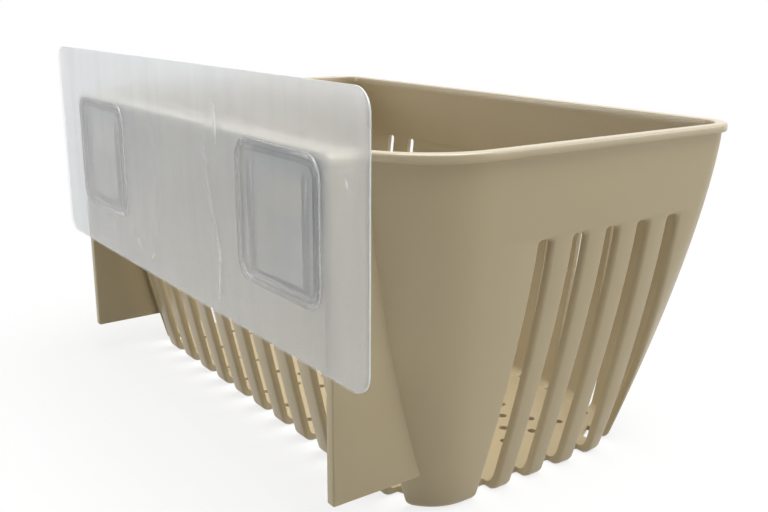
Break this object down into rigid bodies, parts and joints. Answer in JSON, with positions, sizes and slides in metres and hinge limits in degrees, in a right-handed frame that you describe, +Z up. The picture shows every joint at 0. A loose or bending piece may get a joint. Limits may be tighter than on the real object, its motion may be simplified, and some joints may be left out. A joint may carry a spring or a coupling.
{
  "type": "wall basket",
  "caption": "Tapered plastic wall basket with slotted sides and a drained floor, hung by tabs under its rear ledge on clear hooks set in a frosted adhesive wall sheet.",
  "frame": {"origin": "middle of the wall face, the rear face of the wall sheet's stack of layers", "axes": "+X along the wall, +Y into the wall with the basket on the -Y side, +Z up"},
  "size_m": [0.22, 0.1441, 0.1259],
  "materials": {
    "beige_polypropylene": "satin moulded",
    "frosted_film": "frosted",
    "clear_adhesive": "clear tacky gel",
    "liner_film": "glossy film",
    "clear_plastic": "clear moulded"
  },
  "bodies": {
    "wall_mount": {"backing_sheet": "frosted_film", "adhesive_layer": "clear_adhesive", "release_liner": "liner_film", "hook_left": "clear_plastic", "hook_right": "clear_plastic"},
    "basket": {"basket": "beige_polypropylene"}
  },
  "joints": [
    {"name": "basket_lift", "type": "slide", "parent": "wall_mount", "child": "basket", "axis": [0, 0, 1], "range_m": [0, 0.025]}
  ]
}
